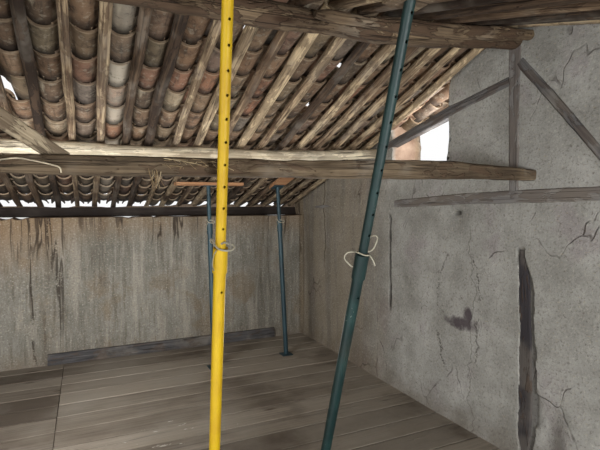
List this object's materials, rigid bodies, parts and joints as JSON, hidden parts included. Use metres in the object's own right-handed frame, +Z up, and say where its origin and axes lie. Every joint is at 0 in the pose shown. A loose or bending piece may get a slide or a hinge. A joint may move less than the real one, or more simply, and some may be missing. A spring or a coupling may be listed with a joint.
{
  "type": "adobe house upper room",
  "caption": "Roofed upper room of an adobe house: mud-plastered walls, plank floor and a sagging pole roof under clay tiles, held by steel props.",
  "frame": {"origin": "middle of the footprint of the roof, at the foot of the walls", "axes": "X along the ridge towards the right gable, Y towards the back wall, Z up"},
  "size_m": [8.02, 7.56, 3.2046],
  "materials": {
    "adobe": "rough mud plaster",
    "old_wood": "weathered poles",
    "pale_wood": "hewn timber",
    "dark_wood": "dark old timber",
    "clay_tile": "unglazed clay",
    "yellow_paint": "chipped paint",
    "green_paint": "worn paint"
  },
  "bodies": {
    "root": {"back_wall": "adobe", "front_wall": "adobe", "right_gable_base": "adobe", "right_gable_top": "adobe", "left_gable_base_back": "adobe", "left_gable_base_front": "adobe", "left_gable_top": "adobe", "door_threshold": "adobe", "door_lintel": "dark_wood", "right_ring_beam": "old_wood", "right_king_post": "old_wood", "right_gable_strut": "old_wood", "right_gable_brace": "old_wood", "right_lower_post": "dark_wood", "left_ring_beam": "old_wood", "left_king_post": "old_wood", "left_gable_strut": "old_wood", "left_gable_brace": "old_wood", "left_lower_post": "dark_wood", "ridge_log": "old_wood", "ridge_lap_log": "old_wood", "back_purlin": "pale_wood", "front_purlin": "pale_wood", "back_wall_plate": "dark_wood", "front_wall_plate": "dark_wood", "tie_beam": "pale_wood", "right_ridge_strut": "pale_wood", "left_ridge_strut": "pale_wood", "back_rafters": "old_wood", "front_rafters": "old_wood", "back_tiles": "clay_tile", "front_tiles": "clay_tile", "ridge_tiles": "clay_tile", "floor_joists": "old_wood", "floor_boards": "old_wood", "wall_foot_board": "old_wood", "yellow_prop_lower_tube": "yellow_paint", "yellow_prop_upper_tube": "yellow_paint", "yellow_prop_pad": "pale_wood", "green_prop_lower_tube": "green_paint", "green_prop_upper_tube": "green_paint", "green_prop_pad": "pale_wood", "back_prop_lower_tubes": "green_paint", "back_prop_upper_tubes": "green_paint", "back_prop_pads": "pale_wood"}
  },
  "joints": []
}
